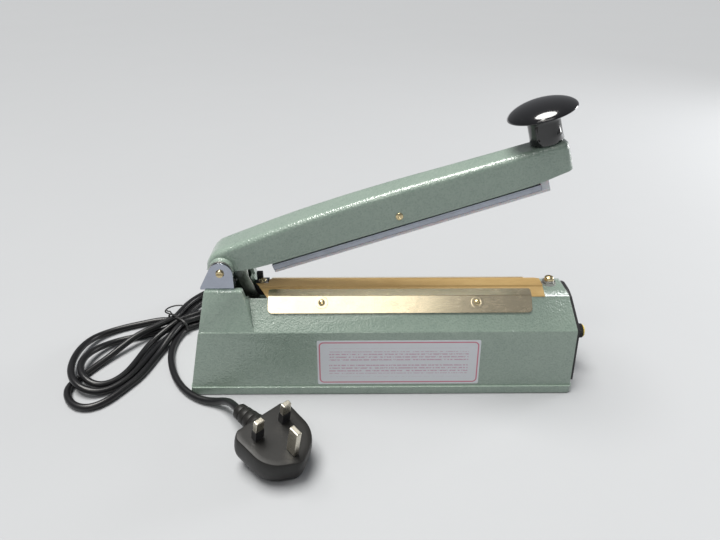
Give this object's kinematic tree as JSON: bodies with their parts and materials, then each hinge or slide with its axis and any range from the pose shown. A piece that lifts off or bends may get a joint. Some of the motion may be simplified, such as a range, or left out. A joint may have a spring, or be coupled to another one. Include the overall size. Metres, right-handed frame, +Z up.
{
  "type": "hand impulse heat sealer",
  "caption": "Hand-operated impulse heat sealer: cast base with heated bed and timer, hinged arm with pressure bar and knob handle, mains lead with three-pin plug.",
  "frame": {"origin": "middle of the underside of the bottom cover, on the bench", "axes": "+X along the bed from the hinge to the timer end, +Y to the back where the lead leaves, +Z up"},
  "size_m": [0.4272, 0.2542, 0.2204],
  "materials": {
    "casting_paint": "grey-green hammered enamel, semi-gloss",
    "black_steel": "black paint, satin",
    "black_panel": "black moulded plastic, matte",
    "zinc_screws": "bright zinc plate",
    "lamp_red": "clear red plastic",
    "board_green": "solder-masked board",
    "parts_mixed": "moulded component cases",
    "pot_metal": "satin",
    "core_steel": "stacked laminations, satin",
    "coil_tape": "polyester tape",
    "switch_black": "fine-grained black plastic",
    "bright_steel": "bright zinc plate, brushed",
    "chrome_bracket": "polished",
    "brass_screws": "pale plated brass",
    "washers": "nickel plate",
    "bushing": "natural nylon",
    "underlay": "phenolic strip",
    "element": "flat resistance strip",
    "cloth": "fluoropolymer-coated glass cloth",
    "plates": "bright stainless, fine grain",
    "black_rubber": "smooth flexible PVC, low sheen",
    "tie": "coated wire tie",
    "plug_black": "moulded plug, semi-gloss",
    "plug_brass": "brass, lightly tarnished",
    "sleeves": "insulating half sleeve",
    "handle_black": "moulded phenolic, high gloss",
    "bar_metal": "extruded, brushed",
    "silicone": "translucent white silicone",
    "cap_yellow": "moulded cap"
  },
  "bodies": {
    "base": {"base_casting": "casting_paint", "bottom_cover": "black_steel", "bottom_screws": "zinc_screws", "end_panel": "black_panel", "panel_screws": "zinc_screws", "indicator_lamp": "lamp_red", "lamp_bezel": "zinc_screws", "timer_board": "board_green", "board_parts": "parts_mixed", "timer_pot": "pot_metal", "pot_nut": "zinc_screws", "transformer_core": "core_steel", "transformer_coil": "coil_tape", "transformer_screws": "zinc_screws", "microswitch": "switch_black", "microswitch_bracket": "bright_steel", "microswitch_screws": "zinc_screws", "hinge_bracket": "chrome_bracket", "hinge_bracket_screws": "zinc_screws", "hinge_pin": "bright_steel", "hinge_pin_screws": "brass_screws", "bed_underlay": "underlay", "heating_element": "element", "cloth_cover": "cloth", "front_clamp_plate": "plates", "rear_clamp_plate": "plates", "clamp_screws": "zinc_screws", "left_terminal_block": "black_panel", "right_terminal_bush": "bushing", "terminal_washers": "washers", "terminal_screws": "brass_screws", "return_spring": "bright_steel", "spring_anchor": "zinc_screws", "cord_gland": "black_rubber", "cord_tail": "black_rubber", "cord_hank": "black_rubber", "cord_loops": "black_rubber", "cord_lead": "black_rubber", "cord_tie": "tie", "plug_body": "plug_black", "plug_boot": "black_rubber", "plug_pins": "plug_brass", "plug_sleeves": "sleeves"},
    "arm": {"arm_casting": "casting_paint", "handle_knob": "handle_black", "handle_bolt": "zinc_screws", "hinge_bushings": "bushing", "actuator_lever": "bright_steel", "actuator_screws": "zinc_screws", "bar_pivot_pin": "brass_screws", "spring_hook_pin": "zinc_screws"},
    "bar": {"pressure_bar": "bar_metal", "silicone_strip": "silicone"},
    "knob": {"timer_knob": "switch_black", "knob_cap": "cap_yellow", "pot_shaft": "bright_steel"},
    "switch": {"switch_lever": "bright_steel"}
  },
  "joints": [
    {"name": "arm_hinge", "type": "hinge", "parent": "base", "child": "arm", "pos_m": [-0.1195, 0, 0.0997], "axis": [0, 1, 0], "range_deg": [0, 18.2], "stiffness_Nm_per_rad": 1.2, "springref_deg": -42.97, "deforming": ["return_spring"]},
    {"name": "pressure_bar_rock", "type": "hinge", "parent": "arm", "child": "bar", "pos_m": [0.01111, 0, 0.14075], "axis": [0, 1, 0], "range_deg": [-0.35, 0.35]},
    {"name": "timer_knob_turn", "type": "hinge", "parent": "base", "child": "knob", "pos_m": [0.15, 0, 0.032], "axis": [1, 0, 0], "range_deg": [-150, 150]},
    {"name": "switch_lever_press", "type": "hinge", "parent": "base", "child": "switch", "pos_m": [-0.1205, -0.0048, 0.0597], "axis": [0, -1, 0], "range_deg": [0, 10], "stiffness_Nm_per_rad": 0.004, "springref_deg": -5.73}
  ]
}
